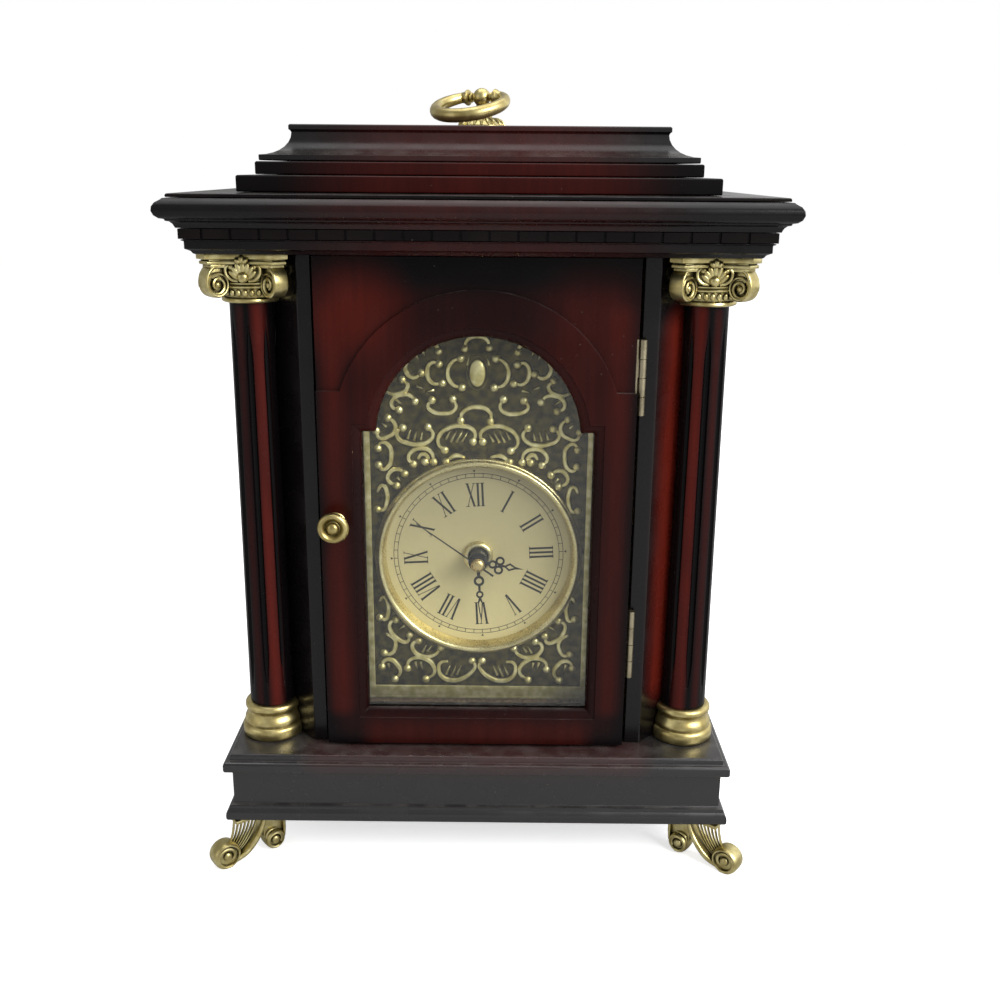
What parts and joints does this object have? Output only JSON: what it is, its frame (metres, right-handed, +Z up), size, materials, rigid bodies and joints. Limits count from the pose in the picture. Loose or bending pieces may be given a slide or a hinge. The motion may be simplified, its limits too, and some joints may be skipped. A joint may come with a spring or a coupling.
{
  "type": "bracket clock",
  "caption": "Dark wooden bracket clock with engaged columns, stepped top, ring handle, scroll feet, arched glass door, embossed dial plate and battery movement.",
  "frame": {"origin": "on the surface the clock stands on, midway between the left and right sides and between the front and back of the cornice", "axes": "+X to the viewer's right when facing the dial, +Y from the dial to the back, +Z up"},
  "size_m": [0.249, 0.169, 0.3454],
  "materials": {
    "ebonised_wood": "near-black gloss lacquer",
    "mahogany": "dark red gloss lacquer shaded to black at the edges",
    "fibreboard": "raw board",
    "antique_brass": "antique brass with dark recesses",
    "bright_brass": "satin brass",
    "dial_face": "satin champagne",
    "black_hands": "satin black",
    "glass": "clear",
    "black_plastic": "moulded",
    "white_plastic": "moulded",
    "copper_winding": "enamelled copper wire",
    "circuit_board": "green board",
    "battery_can": "plain sleeve",
    "steel": "plated steel"
  },
  "bodies": {
    "case": {"back_hinge_case_leaf": "bright_brass", "back_panel": "mahogany", "base_slab": "ebonised_wood", "battery": "battery_can", "cap_tier_lower": "mahogany", "cap_tier_upper": "mahogany", "cap_top": "ebonised_wood", "catch_magnet": "black_hands", "circuit_board": "circuit_board", "coil": "copper_winding", "column_base_left": "antique_brass", "column_base_right": "antique_brass", "column_capital_left": "antique_brass", "column_capital_right": "antique_brass", "column_shaft_left": "mahogany", "column_shaft_right": "mahogany", "contact_negative": "steel", "contact_positive": "steel", "corner_post_left": "mahogany", "corner_post_right": "mahogany", "cornice_top_board": "ebonised_wood", "crown_moulding": "ebonised_wood", "dentil_moulding": "ebonised_wood", "dial_bezel": "bright_brass", "dial_board": "fibreboard", "dial_disc": "dial_face", "dial_plate": "antique_brass", "foot_front_left": "antique_brass", "foot_front_right": "antique_brass", "foot_rear_left": "antique_brass", "foot_rear_right": "antique_brass", "hand_nut": "bright_brass", "handle_post": "antique_brass", "handle_rosette": "antique_brass", "hinge_case_leaf_lower": "bright_brass", "hinge_case_leaf_upper": "bright_brass", "movement_case": "black_plastic", "movement_cover": "black_plastic", "plinth_frame": "ebonised_wood", "side_panel_left": "mahogany", "side_panel_right": "mahogany", "soffit_board": "ebonised_wood"},
    "front_door": {"door_frame": "mahogany", "door_glass": "glass", "glass_bead": "mahogany", "door_knob": "antique_brass", "strike_plate": "steel", "hinge_door_leaf_lower": "bright_brass", "hinge_door_leaf_upper": "bright_brass"},
    "back_door": {"back_door": "mahogany", "back_door_knob": "bright_brass", "back_hinge_door_leaf": "bright_brass"},
    "handle_ring": {"handle_ring": "antique_brass"},
    "minute_hand": {"minute_hand": "black_hands", "cannon_pinion": "bright_brass"},
    "hour_hand": {"hour_hand": "black_hands", "hour_wheel": "bright_brass"},
    "second_hand": {"second_hand": "bright_brass"},
    "minute_wheel": {"minute_wheel": "white_plastic"},
    "setting_knob": {"setting_knob": "black_plastic"}
  },
  "joints": [
    {"name": "front_door_hinge", "type": "hinge", "parent": "case", "child": "front_door", "pos_m": [0.0685, -0.05945, 0.1679], "axis": [0, 0, 1], "range_deg": [0, 105]},
    {"name": "back_door_hinge", "type": "hinge", "parent": "case", "child": "back_door", "pos_m": [0.0605, 0.0594, 0.1466], "axis": [0, 0, -1], "range_deg": [0, 110]},
    {"name": "ring_swing", "type": "hinge", "parent": "case", "child": "handle_ring", "pos_m": [0, 0, 0.3415], "axis": [-0.8988, 0.4384, 0], "range_deg": [-3, 150]},
    {"name": "minute_turn", "type": "hinge", "parent": "case", "child": "minute_hand", "pos_m": [0, -0.05, 0.1417], "axis": [0, 1, 0], "continuous": true},
    {"name": "hour_turn", "type": "hinge", "parent": "case", "child": "hour_hand", "pos_m": [0, -0.05, 0.1417], "axis": [0, 1, 0], "continuous": true},
    {"name": "second_turn", "type": "hinge", "parent": "case", "child": "second_hand", "pos_m": [0, -0.05, 0.1417], "axis": [0, 1, 0], "continuous": true},
    {"name": "minute_wheel_turn", "type": "hinge", "parent": "case", "child": "minute_wheel", "pos_m": [0.005, -0.028, 0.15036], "axis": [0, 1, 0], "continuous": true},
    {"name": "setting_knob_turn", "type": "hinge", "parent": "case", "child": "setting_knob", "pos_m": [0.015, -0.015, 0.15036], "axis": [0, 1, 0], "continuous": true}
  ],
  "couplings": [
    {"joint": "hour_turn", "follows": "minute_turn", "ratio": 0.083333},
    {"joint": "minute_wheel_turn", "follows": "minute_turn", "ratio": -0.33333},
    {"joint": "setting_knob_turn", "follows": "minute_turn", "ratio": 1}
  ]
}
